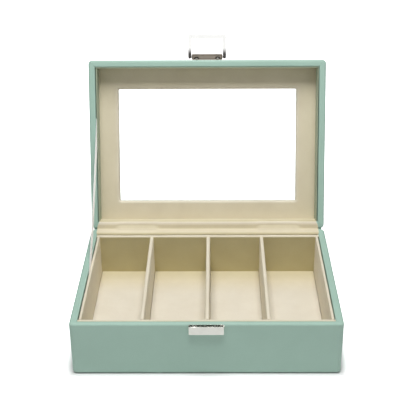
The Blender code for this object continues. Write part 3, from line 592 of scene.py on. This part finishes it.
def grid_piece(name, points, finish, round_rows=False, round_columns=False, uv=None, caps=False, turn=None):
    """A mesh over a grid of points, rows by columns, closed on itself along either way where asked, with a
    flat cap over its first and last row where asked. Each face joins a point to the next in its row and to
    the two beside them in the next row. Faces turn about where the volume that they close is negative."""
    rows, columns = points.shape[:2]
    row = np.arange(rows if round_rows else rows - 1)[:, None]
    column = np.arange(columns if round_columns else columns - 1)[None, :]
    next_row, next_column = (row + 1) % rows, (column + 1) % columns
    corners = [
        row * columns + column,
        row * columns + next_column,
        next_row * columns + next_column,
        next_row * columns + column,
    ]
    faces = np.stack(corners, axis=-1).reshape(-1, 4)
    places = points.reshape(-1, 3)
    first, second, third, fourth = np.moveaxis((places - places.mean(0))[faces], 1, 0)
    volume = (first * (np.cross(second, third) + np.cross(third, fourth))).sum()
    ends = [np.arange(columns)[::-1], (rows - 1) * columns + np.arange(columns)] if caps else []
    inward = volume < 0 and (caps or round_rows)
    faces = faces[:, ::-1] if inward else faces
    ends = [end[::-1].tolist() if inward else end.tolist() for end in ends]
    mesh = bpy.data.meshes.new(name)
    mesh.from_pydata(places.tolist(), [], faces.tolist() + ends)
    if uv is not None:
        layer = mesh.uv_layers.new(name="along_the_cloth")
        order = np.concatenate([faces.ravel(), *ends]).astype(int)
        layer.data.foreach_set("uv", uv.reshape(-1, 2)[order].ravel())
    # each point's painted shade and painted light, kept as an attribute
    if turn is not None:
        mesh.attributes.new("painted_shade_turn", "FLOAT", "POINT").data.foreach_set("value", turn.ravel())
    mesh.materials.append(finish)
    mesh.shade_smooth()
    if caps:
        mesh.set_sharp_from_angle(angle=SHARP)
    made = bpy.data.objects.new(name, mesh)
    bpy.context.scene.collection.objects.link(made)
    return made


def smooth(share):
    """The smooth step of a share from 0 to 1: three squares less two cubes."""
    return share * share * (3 - 2 * share)


def normals(points):
    """Outward directions of a grid closed both ways: across its rows by across its columns."""
    along = np.roll(points, -1, 1) - np.roll(points, 1, 1)
    across = np.roll(points, -1, 0) - np.roll(points, 1, 0)
    found = np.cross(along, across)
    return found / np.linalg.norm(found, axis=-1, keepdims=True)


def outline(half, front, rear, corner, level):
    """One ring of a section: a rectangle with round corners, at a level."""
    return np.array([half, front, rear, corner, level])


def grown(ring, by):
    """A ring grown by a distance on every side."""
    half, front, rear, corner, level = ring
    return outline(half + by, front - by, rear + by, max(corner + by, FINEST_CORNER), level)


def at_level(ring, level):
    return np.array([*ring[:4], level])


def edge_round(ring, level, radius, outward=1, up=1):
    """Rings from a wall's face round its edge to the level face: a quarter circle of the radius. The ring
    draws in by the radius less its cosine, and the level comes short by the radius less its sine."""
    angles = np.linspace(0, math.pi / 2, ARC_STEPS + 1)
    insets = outward * radius * (1 - np.cos(angles))
    levels = level - up * radius * (1 - np.sin(angles))
    return [at_level(grown(ring, -inset), height) for inset, height in zip(insets, levels)]


def corner_columns():
    """The columns of a carried section: in each corner a quarter turn, closer set near its middle, where
    the leatherette is folded. Gives each one's quarter and its angle within the quarter."""
    spread = np.linspace(-1, 1, CORNER_STEPS + 1)
    within = math.pi / 4 * (1 + np.sign(spread) * np.abs(spread) ** CORNER_CLOSENESS)
    quarter = np.repeat(np.arange(4), CORNER_STEPS + 1)
    return quarter, np.tile(within, 4)


def carried(section):
    """A section carried round the case: the point of a ring in a quarter is that quarter's corner centre plus
    the corner radius along the angle."""
    half, front, rear, corner, level = np.array(section).T[:, :, None]
    quarter, within = corner_columns()
    angle = quarter * math.pi / 2 + within
    right = np.where((quarter == 0) | (quarter == 3), 1, -1)[None, :]
    back = (quarter < 2)[None, :]
    x = right * (half - corner) + corner * np.cos(angle)
    y = np.where(back, rear - corner, front + corner) + corner * np.sin(angle)
    return np.stack([x, y, np.broadcast_to(level, x.shape)], axis=-1)


def folded(points, section, share):
    """Folds the leatherette at the corners: beside each corner's middle line a narrow groove of bell shape is
    pressed in, and one flap rises by a low step that dies out away from the line. share says how much each
    ring of the section is folded."""
    corner = np.array(section)[:, 3][:, None]
    within = corner_columns()[1][None, :]
    off = np.maximum(corner, FINEST_FOLD) * (within - math.pi / 4)
    groove = FOLD_DEPTH * np.exp(-((off / FOLD_WIDTH) ** 2))
    flap = FLAP_RISE * np.exp(-off / FLAP_WIDTH) * (off > 0)
    return points + normals(points) * ((flap - groove) * share[:, None])[..., None]


def to_open_lid(points):
    """Turns points from the shut lid's place to the open lid's, about the hinge."""
    turn = np.array(Matrix.Rotation(-OPEN, 3, "X"))
    middle = np.array(HINGE)
    return (points - middle) @ turn.T + middle


def base_leather():
    """The base's leatherette: a closed section of one skin's thickness, under the foot, up the wall, over the
    rim and down into the mouth, carried round the case."""
    outer = outline(SIDE, FRONT, REAR, CORNER, 0)
    mouth = outline(SIDE - WALL, FRONT + FRONT_WALL, REAR - REAR_WALL, MOUTH_CORNER, 0)
    skin_in, mouth_back = grown(outer, -SKIN), grown(mouth, SKIN)
    under = grown(outer, -TURN_UNDER)
    section = [at_level(under, FOOT)]
    section += edge_round(outer, FOOT, FOOT_ROUND, up=-1)[::-1]
    start = len(section)
    section += edge_round(outer, RIM, RIM_ROUND)
    section += edge_round(mouth, RIM, MOUTH_ROUND, outward=-1)[::-1]
    section += [at_level(mouth, RIM - TURN_DOWN)]
    end = len(section)
    section += [at_level(mouth_back, RIM - TURN_DOWN)]
    section += edge_round(mouth_back, RIM - SKIN, MOUTH_ROUND - SKIN, outward=-1)
    section += edge_round(skin_in, RIM - SKIN, RIM_ROUND - SKIN)[::-1]
    section += edge_round(skin_in, FOOT + SKIN, FOOT_ROUND - SKIN, up=-1)
    section += [at_level(under, FOOT + SKIN)]
    share = np.zeros(len(section))
    share[start + 2 : end] = 1
    points = folded(carried(section), section, share)
    piece = grid_piece("base_leather", points[::-1], LEATHERETTE, True, True)
    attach(piece, "base")
    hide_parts("base_cover")


def lid_leather():
    """The lid's leatherette: a closed section from inside the mouth over the rim, up the wall, over the top
    and down round the window, carried round the case and turned open."""
    outer = outline(SIDE, FRONT, REAR, CORNER, 0)
    mouth = outline(SIDE - WALL, FRONT + WALL, REAR - WALL, MOUTH_CORNER, 0)
    window = outline(SIDE - WINDOW_SIDE, FRONT + WINDOW_FRONT, REAR - WINDOW_REAR, WINDOW_CORNER, 0)
    skin_in, mouth_back, window_back = grown(outer, -SKIN), grown(mouth, SKIN), grown(window, SKIN)
    section = [at_level(mouth, LID_RIM + TURN_DOWN)]
    section += edge_round(mouth, LID_RIM, MOUTH_ROUND, outward=-1, up=-1)
    section += edge_round(outer, LID_RIM, RIM_ROUND, up=-1)[::-1]
    end = len(section)
    section += edge_round(outer, LID_TOP, RIM_ROUND)
    over = len(section)
    section += edge_round(window, LID_TOP, MOUTH_ROUND, outward=-1)[::-1]
    section += [at_level(window, WINDOW_LEVEL)]
    over_end = len(section)
    section += [at_level(window_back, WINDOW_LEVEL)]
    section += edge_round(window_back, LID_TOP - SKIN, MOUTH_ROUND - SKIN, outward=-1)
    section += edge_round(skin_in, LID_TOP - SKIN, RIM_ROUND - SKIN)[::-1]
    section += edge_round(skin_in, LID_RIM + SKIN, RIM_ROUND - SKIN, up=-1)
    section += edge_round(mouth_back, LID_RIM + SKIN, MOUTH_ROUND - SKIN, outward=-1, up=-1)[::-1]
    section += [at_level(mouth_back, LID_RIM + TURN_DOWN)]
    share = np.zeros(len(section))
    share[: end - 2] = 1
    share[over + 4 : over_end] = 1
    points = to_open_lid(folded(carried(section), section, share))
    piece = grid_piece("lid_leather", points[::-1], LEATHERETTE, True, True)
    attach(piece, "lid")
    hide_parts("lid_cover")


def on_open_lid(back, level):
    """Where a point of the shut lid lies on the open lid: back is measured forward from the hinge along the
    lid, and level up from the rim. Gives its y and z."""
    at = Vector((0, REAR - back, LID_RIM + level)) - HINGE
    at.rotate(Matrix.Rotation(-OPEN, 3, "X"))
    return np.array([(at + HINGE).y, (at + HINGE).z])


def rounded_path(corners, radii, steps):
    """A path through corners in a plane, each rounded to its radius by an arc that touches both its sides:
    the arc starts at the corner less the radius times the half turn's tangent, and turns evenly."""
    path = [corners[0][None]]
    for before, corner, after, radius in zip(corners, corners[1:], corners[2:], radii):
        come = (corner - before) / np.linalg.norm(corner - before)
        leave = (after - corner) / np.linalg.norm(after - corner)
        turn = math.atan2(come[0] * leave[1] - come[1] * leave[0], come @ leave)
        start = corner - come * radius * math.tan(abs(turn) / 2)
        angles = np.linspace(0, turn, steps + 1)[:, None]
        side = np.array([-come[1], come[0]]) * math.copysign(radius, turn)
        path.append(start + side + come * radius * np.abs(np.sin(angles)) - side * np.cos(angles))
    path.append(corners[-1][None])
    return np.concatenate(path)


def evenly(path, count):
    """The path's points put at even distances along it."""
    steps = np.linalg.norm(np.diff(path, axis=0), axis=1)
    along = np.concatenate([[0], np.cumsum(steps)])
    wanted = np.linspace(0, along[-1], count)
    return np.stack([np.interp(wanted, along, path[:, axis]) for axis in range(path.shape[1])], axis=1)


def filled(path, spacing):
    """The path with points added along it at every spacing, the first half a spacing from its start."""
    steps = np.linalg.norm(np.diff(path, axis=0), axis=1)
    along = np.concatenate([[0], np.cumsum(steps)])
    wanted = np.union1d(along, np.arange(spacing / 2, along[-1], spacing))
    return np.stack([np.interp(wanted, along, path[:, axis]) for axis in range(path.shape[1])], axis=1)


def waves(points, size):
    """How far padding swells or dips at each point: two crossed sine waves, a few centimetres long."""
    x, y, z = np.moveaxis(points, -1, 0)
    first, second, third, fourth, fifth = WAVE_RUNS
    one = np.sin(x / first + z / second)
    other = np.sin(y / third - z / fourth + x / fifth + WAVE_PHASE)
    return size * (one + other) / 2


def velvet_bar(name, along, crown, pile, rise=0.0):
    """A padded, velvet-covered bar in place of a straight wall or card of the tray, which runs along x (0) or
    y (1). Across it, its section goes up one face, over a top whose edges are rounded by the crown, and down
    the other face; the section is carried from end to end, and its skin swells and dips in gentle waves. It
    gets painted shade and painted light by where its skin faces. On a card the top's painted light turns to
    painted shade towards the rear by a smooth step."""
    low, high = (np.array(corner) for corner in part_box(name))
    high[2] += rise
    across = 1 - along
    corners = [
        np.array((high[across], low[2])),
        np.array((high[across], high[2])),
        np.array((low[across], high[2])),
        np.array((low[across], low[2])),
    ]
    profile = filled(rounded_path(corners, (crown, crown), CROWN_STEPS), VELVET_SPACING)
    length = high[along] - low[along] + 2 * PILE_TOUCH
    count = int(length / VELVET_SPACING) + 2
    run = np.linspace(low[along] - PILE_TOUCH, high[along] + PILE_TOUCH, count)
    points = np.empty((count, len(profile), 3))
    points[..., along] = run[:, None]
    points[..., across] = profile[None, :, 0]
    points[..., 2] = profile[None, :, 1]
    facing = np.gradient(points, axis=1)
    out = np.stack([facing[..., 2], -facing[..., across]], axis=-1)
    out /= np.linalg.norm(out, axis=-1, keepdims=True)
    swell = waves(points, WAVE) * (points[..., 2] > low[2] + VELVET_SPACING)
    points[..., across] += out[..., 0] * swell
    points[..., 2] += out[..., 1] * swell
    # painted shade on faces turned to the front, painted light on tops
    top_painted_shade = pile["top"]
    # on a card the top's painted light turns to painted shade towards the rear
    if "rear" in pile:
        near = smooth(np.clip((points[..., 1] - CARD_PAINTED_SHADE_AT) / (high[1] - CARD_PAINTED_SHADE_AT), 0, 1))
        top_painted_shade = top_painted_shade + (pile["rear"] - top_painted_shade) * near
    front_painted_shade, side_painted_shade = pile["front"] * np.clip(-out[..., 0], 0, 1), pile["side"] * np.abs(out[..., 0])
    up = np.clip(out[..., 1], 0, 1)
    turn = (front_painted_shade if across == 1 else side_painted_shade) * (1 - up) + top_painted_shade * up
    piece = grid_piece("velvet_" + name, points, VELVET, round_columns=True, caps=True, turn=turn)
    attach(piece, "base")
    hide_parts(name)


def velvet_tray():
    """The tray's walls and dividers, and the card in each compartment."""
    velvet_bar("tray_front_wall", 0, WALL_CROWN, WALL_PAINTED_SHADE)
    velvet_bar("tray_rear_wall", 0, WALL_CROWN, WALL_PAINTED_SHADE, rise=REAR_WALL_RISE)
    velvet_bar("tray_right_wall", 1, WALL_CROWN, RIGHT_WALL_PAINTED_SHADE)
    for name in ("tray_left_wall", "divider_1", "divider_2", "divider_3"):
        velvet_bar(name, 1, WALL_CROWN, WALL_PAINTED_SHADE)
    for number in range(1, 5):
        velvet_bar(f"compartment_floor_{number}", 1, CARD_CROWN, CARD_PAINTED_SHADE)


def with_long_sides(points, count):
    """A carried section with more columns on the case's four sides, at even shares of each."""
    quarter = CORNER_STEPS + 1
    one = np.concatenate([np.arange(quarter), quarter - 1 + np.arange(1, count) / count])
    index = (one[None, :] + quarter * np.arange(4)[:, None]).ravel()
    closed = np.concatenate([points, points[:, :1]], axis=1)
    low = index.astype(int)
    share = (index - low)[None, :, None]
    return closed[:, low] * (1 - share) + closed[:, low + 1] * share


def velvet_panel():
    """The velvet frame in the lid: a flat section whose edge at the window is a quarter circle, carried round
    the lid. Where it turns over the edge it gets painted light."""
    edge = outline(SIDE - PANEL_MARGIN, FRONT + PANEL_MARGIN, REAR - PANEL_MARGIN, MOUTH_CORNER, 0)
    window = outline(SIDE - WINDOW_SIDE, FRONT + WINDOW_FRONT, REAR - WINDOW_REAR, WINDOW_CORNER, 0)
    over = edge_round(window, PANEL_LEVEL, PANEL_ROUND, outward=-1, up=-1)[::-1]
    shares = np.arange(PANEL_RINGS) / PANEL_RINGS
    face = [at_level(edge * (1 - share) + over[0] * share, PANEL_LEVEL) for share in shares]
    back = PANEL_LEVEL + PANEL_THICK
    section = [at_level(edge, back), *face, *over, at_level(window, back)]
    # painted light over the edge round the window
    edge_painted_light = np.linspace(*PANEL_EDGE_PAINTED_LIGHT, len(over))
    turn = np.concatenate([np.zeros(1 + len(face)), edge_painted_light, edge_painted_light[-1:]])
    points = with_long_sides(carried(section), PANEL_STEPS)
    points[..., 2] += waves(points, WAVE) * (points[..., 2] < PANEL_LEVEL + PANEL_ROUND / 2)
    turns = np.broadcast_to(turn[:, None], points.shape[:2])
    piece = grid_piece("velvet_lid_panel", to_open_lid(points), VELVET, True, True, turn=turns)
    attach(piece, "lid")
    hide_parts("lid_panel")


def with_back(path, thick):
    """A closed strip round a path: the path itself, then back along a copy set off to its right by the
    thickness."""
    run = np.gradient(path, axis=0)
    run /= np.linalg.norm(run, axis=1, keepdims=True)
    right = np.stack([run[:, 1], -run[:, 0]], axis=1)
    return np.concatenate([path, (path + right * thick)[::-1]])


def hinge_path(web):
    """The face of the cloth from the foot of its leg in the base to the end of its leg in the lid: over the
    base's rim, which it crowns, across the hinge by a flat web that starts and ends at a distance from it,
    over the lid's rim, round a bead at that rim's inner edge, and on over a soft fold to the lid's panel."""
    wall = REAR - REAR_WALL - LINING_PROUD
    corners = [
        np.array((wall, RIM - TURN_DOWN)),
        np.array((wall, RIM + LINING_PROUD)),
        np.array((REAR - BASE_CROWN_AT, RIM + LINING_PROUD + BASE_CROWN)),
        np.array((REAR - web, RIM + LINING_PROUD)),
        on_open_lid(web, -LINING_PROUD),
        on_open_lid(WALL + BEAD_OVER_WALL, -BEAD_PROUD),
        on_open_lid(WALL + BEAD_OVER_WALL, BEAD_DEPTH),
        on_open_lid(WALL + LINING_PROUD, BEHIND_BEAD),
        on_open_lid(WALL + FOLD_OVER_WALL, FOLD_TOP),
        on_open_lid(WALL + LINING_PROUD, FOLD_END),
        on_open_lid(WALL + LINING_PROUD, RECESS - CLOTH_END_AIR),
    ]
    bend = web / 2 + WEB_ROUND_MORE
    bead = (BEAD_ROUND, BEAD_FOOT_ROUND, BEHIND_BEAD_ROUND)
    radii = (BASE_EDGE_ROUND, BASE_CROWN_ROUND, bend, bend, *bead, FOLD_TOP_ROUND, FOLD_END_ROUND)
    return evenly(rounded_path(corners, radii, BEND_STEPS), CLOTH_STEPS)


def hinge_cloth():
    """Cloth glued over both rear rims and across the hinge. Its face is the tight path, eased towards a
    looser one by a smooth step over each metal hinge, and its section is closed by a back one thickness
    behind. Its ends are mitred: they draw in by a smooth step from the fold at the hinge to the panel."""
    face = hinge_path(WEB)
    tight = with_back(face, LINING_THICK)
    loose = with_back(hinge_path(WEB_AT_HINGE), LINING_THICK)
    across = np.linspace(-1, 1, LINING_COLUMNS)
    beyond = np.clip((np.abs(np.abs(across * LINING_HALF) - HINGE_SPREAD) - HINGE_HALF) / HINGE_FADE, 0, 1)
    share = (1 - smooth(beyond))[:, None, None]
    sides = tight * (1 - share) + loose * share
    up = np.clip((tight[:, 1] - MITRE_AT) / MITRE_RUN, 0, 1)
    x = across[:, None] * (LINING_HALF - MITRE * smooth(up))[None, :]
    points = np.concatenate([x[..., None], sides], axis=-1)
    length = np.linalg.norm(np.diff(face, axis=0), axis=1).sum()
    along = np.linspace(0, length, CLOTH_STEPS)
    hinge_at = along[np.argmin(np.hypot(face[:, 0] - REAR, face[:, 1] - RIM))]
    # painted shade and painted light along the cloth
    turn = np.interp(along - hinge_at, CLOTH_PAINTED_SHADE_AT, CLOTH_PAINTED_SHADE)
    turns = np.broadcast_to(np.concatenate([turn, turn[::-1]]), points.shape[:2])
    piece = grid_piece("hinge_cloth", points, LINING, round_columns=True, caps=True, turn=turns)
    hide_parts("base_hinge_lining", "lid_hinge_lining")
    start, end = (0, REAR - CLOTH_BLEND, RIM), (0, *on_open_lid(CLOTH_BLEND, 0))
    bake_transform(piece)


def spine_strip():
    """A strip of leatherette glued over the hinge behind: up the base's back, round a fillet that clears the
    hinge's barrels, and out along the lid's back, closed by a back one thickness behind."""
    corner = REAR + SPINE_PROUD
    lid_back = on_open_lid(-SPINE_PROUD, SPINE_REACH)
    lid_near = on_open_lid(-SPINE_PROUD, 0)
    run = (lid_back - lid_near) / np.linalg.norm(lid_back - lid_near)
    meet = lid_near + run * (corner - lid_near[0]) / run[0]
    corners = [np.array((corner, RIM - SPINE_REACH)), meet, lid_back]
    face = evenly(rounded_path(corners, (SPINE_ROUND,), SPINE_BEND_STEPS), SPINE_STEPS)
    section = with_back(face, -SKIN)
    across = np.linspace(-SPINE_HALF, SPINE_HALF, SPINE_COLUMNS)
    x = np.broadcast_to(across[:, None, None], (len(across), len(section), 1))
    sides = np.broadcast_to(section[None], (len(across), *section.shape))
    points = np.concatenate([x, sides], axis=-1)
    piece = grid_piece("spine_strip", points, LEATHERETTE, round_columns=True, caps=True)
    start, end = (0, REAR, RIM - SPINE_BLEND), (0, *on_open_lid(0, SPINE_BLEND))
    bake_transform(piece)


def stay_ribbon():
    """The ribbon on edge in its slot: across it a flat section with round edges, carried along a line that
    sags by four times the sag times the share run and the share left."""
    base_end = np.array((REAR - RIBBON_BASE_REACH, RIM))
    lid_end = on_open_lid(RIBBON_LID_REACH, 0)
    chord = lid_end - base_end
    length = np.linalg.norm(chord)
    run = chord / length
    down = np.array((run[1], -run[0]))
    tuck = RIBBON_TUCK / length
    share = np.linspace(-tuck, 1 + tuck, RIBBON_STEPS)[:, None]
    line = base_end + chord * share + down * 4 * RIBBON_SAG * share * (1 - share)
    turn = np.linspace(0, 2 * math.pi, RIBBON_SECTION_STEPS, endpoint=False)
    thick = RIBBON_THICK / 2
    wide = np.sign(np.cos(turn)) * (RIBBON_HALF - thick) + np.cos(turn) * thick
    x = np.broadcast_to(RIBBON_X + thick * np.sin(turn), (RIBBON_STEPS, len(turn)))
    sides = line[:, None, :] + down * wide[None, :, None]
    points = np.concatenate([x[..., None], sides], axis=-1)
    along = np.broadcast_to(share * length, x.shape)
    uv = np.stack([along, np.broadcast_to(wide, along.shape)], axis=-1)
    piece = grid_piece("satin_ribbon", points, SATIN, round_columns=True, uv=uv, caps=True)
    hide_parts("stay_ribbon")
    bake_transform(piece)


# Floor, light and camera


def seen_directly(tree):
    """1 for rays from the camera and through glass, and 0 for mirrored rays and the light on things."""
    path = node(tree, "LightPath")
    either = node(tree, "Math", operation="MAXIMUM")
    wire(tree, path.outputs["Is Camera Ray"], either.inputs[0])
    wire(tree, path.outputs["Is Transmission Ray"], either.inputs[1])
    return either.outputs[0]


def floor_finish():
    """A pale matt floor. Seen directly its light is lifted, so that it is white up to the case's contact
    shadow, and a glow that grows with the distance carries the white to the horizon. The lift grows by a
    smooth step of the distance from the case's rectangle, so the floor next to the case is left darker: a
    painted contact shadow over the real one."""
    made = bpy.data.materials.new("studio_floor")
    made.use_nodes = True
    tree = made.node_tree
    tree.nodes.clear()
    matt = node(tree, "BsdfDiffuse")
    lit = node(tree, "Mix", data_type="RGBA")
    lit.inputs[6].default_value = linear(FLOOR_SHADE)
    lit.inputs[7].default_value = (FLOOR_LIFT, FLOOR_LIFT, FLOOR_LIFT, 1)
    glow = node(tree, "Emission", Color=(1, 1, 1, 1))
    both = node(tree, "AddShader")
    out = node(tree, "OutputMaterial")
    place = node(tree, "TexCoord")
    lift = node(tree, "MapRange", interpolation_type="SMOOTHSTEP", From_Min=GLOW_FROM, From_Max=GLOW_TO)
    far = node(tree, "VectorMath", operation="DISTANCE")
    far.inputs[1].default_value = GLOW_CENTRE
    glowing = node(tree, "Math", operation="MULTIPLY")
    seen = seen_directly(tree)
    quarter = node(tree, "VectorMath", operation="ABSOLUTE")
    off = node(tree, "VectorMath", operation="SUBTRACT")
    off.inputs[1].default_value = (SIDE, REAR, 0)
    outside = node(tree, "VectorMath", operation="MAXIMUM")
    beside = node(tree, "VectorMath", operation="LENGTH")
    # painted contact shadow: the floor next to the case gets no lift
    clear = node(tree, "MapRange", interpolation_type="SMOOTHSTEP", From_Min=0.0, From_Max=PAINTED_CONTACT_SHADOW_WITHIN)
    lifted = node(tree, "Math", operation="MULTIPLY")
    wire(tree, place.outputs["Object"], quarter.inputs[0])
    wire(tree, quarter.outputs[0], off.inputs[0])
    wire(tree, off.outputs[0], outside.inputs[0])
    wire(tree, outside.outputs[0], beside.inputs[0])
    wire(tree, beside.outputs["Value"], clear.inputs["Value"])
    wire(tree, clear.outputs["Result"], lifted.inputs[0])
    wire(tree, seen, lifted.inputs[1])
    wire(tree, place.outputs["Object"], far.inputs[0])
    wire(tree, far.outputs["Value"], lift.inputs["Value"])
    wire(tree, lift.outputs["Result"], glowing.inputs[0])
    wire(tree, seen, glowing.inputs[1])
    wire(tree, lifted.outputs[0], lit.inputs["Factor"])
    wire(tree, lit.outputs[2], matt.inputs["Color"])
    wire(tree, glowing.outputs[0], glow.inputs["Strength"])
    wire(tree, matt.outputs[0], both.inputs[0])
    wire(tree, glow.outputs[0], both.inputs[1])
    wire(tree, both.outputs[0], out.inputs["Surface"])
    return made


def studio():
    """A wide floor, a room that is white to the eye and brightest for metal on its front side, and two soft
    lamps."""
    reach = np.linspace(-FLOOR_REACH, FLOOR_REACH, 3)
    x, y = np.meshgrid(reach, reach)
    floor = grid_piece("studio_floor", np.stack([x, y, np.zeros_like(x)], axis=-1), floor_finish())

    world = bpy.data.worlds.new("studio_room")
    world.use_nodes = True
    bpy.context.scene.world = world
    tree = world.node_tree
    background = tree.nodes["Background"]
    background.inputs["Color"].default_value = (1, 1, 1, 1)
    path = node(tree, "LightPath")
    place = node(tree, "TexCoord")
    towards = node(tree, "VectorMath", operation="DOT_PRODUCT")
    towards.inputs[1].default_value = Vector(BRIGHT_SIDE).normalized()
    mirrored = node(tree, "MapRange", From_Min=MIRRORED_FROM, From_Max=MIRRORED_TO)
    mirrored.inputs["To Min"].default_value = MIRRORED_DARK
    mirrored.inputs["To Max"].default_value = MIRRORED_BRIGHT
    glossy = node(tree, "Mix", data_type="FLOAT")
    glossy.inputs["A"].default_value = ROOM_LIGHT
    strength = node(tree, "Mix", data_type="FLOAT")
    strength.inputs["B"].default_value = SEEN_LIGHT
    wire(tree, place.outputs["Generated"], towards.inputs[0])
    wire(tree, towards.outputs["Value"], mirrored.inputs["Value"])
    wire(tree, mirrored.outputs["Result"], glossy.inputs["B"])
    wire(tree, path.outputs["Is Glossy Ray"], glossy.inputs["Factor"])
    wire(tree, glossy.outputs["Result"], strength.inputs["A"])
    wire(tree, seen_directly(tree), strength.inputs["Factor"])
    wire(tree, strength.outputs["Result"], background.inputs["Strength"])

    lamp("overhead_softbox", OVERHEAD_PLACE, (0, 0, 0), OVERHEAD_SIZE, OVERHEAD_POWER)
    lamp("front_softbox", FRONT_PLACE, FRONT_TARGET, FRONT_SIZE, FRONT_POWER)


def lamp(name, place, target, size, power):
    """A soft rectangular lamp that faces a point."""
    data = bpy.data.lights.new(name, "AREA")
    data.shape = "RECTANGLE"
    data.size, data.size_y = size
    data.energy = power
    made = bpy.data.objects.new(name, data)
    made.location = place
    made.rotation_euler = (Vector(target) - Vector(place)).to_track_quat("-Z", "Y").to_euler()
    bpy.context.scene.collection.objects.link(made)


def camera():
    """The photograph's camera: yaw, then pitch, then roll about its own line of sight."""
    data = bpy.data.cameras.new("photo_camera")
    data.lens = CAMERA_LENS
    data.sensor_width = CAMERA_SENSOR
    data.clip_start, data.clip_end = CAMERA_NEAR, CAMERA_FAR
    made = bpy.data.objects.new("photo_camera", data)
    ahead = Vector(
        (
            math.sin(CAMERA_YAW) * math.cos(CAMERA_PITCH),
            math.cos(CAMERA_YAW) * math.cos(CAMERA_PITCH),
            -math.sin(CAMERA_PITCH),
        )
    )
    right = Vector((math.cos(CAMERA_YAW), -math.sin(CAMERA_YAW), 0))
    up = right.cross(ahead)
    rolled_right = right * math.cos(CAMERA_ROLL) + up * math.sin(CAMERA_ROLL)
    rolled_up = up * math.cos(CAMERA_ROLL) - right * math.sin(CAMERA_ROLL)
    turn = Matrix((rolled_right, rolled_up, -ahead)).transposed()
    made.matrix_world = Matrix.Translation(CAMERA_PLACE) @ turn.to_4x4()
    bpy.context.scene.collection.objects.link(made)
    bpy.context.scene.camera = made


dress_model()
base_leather()
lid_leather()
velvet_tray()
velvet_panel()
hinge_cloth()
spine_strip()
stay_ribbon()
studio()
camera()
bpy.context.scene.view_settings.view_transform = "Standard"
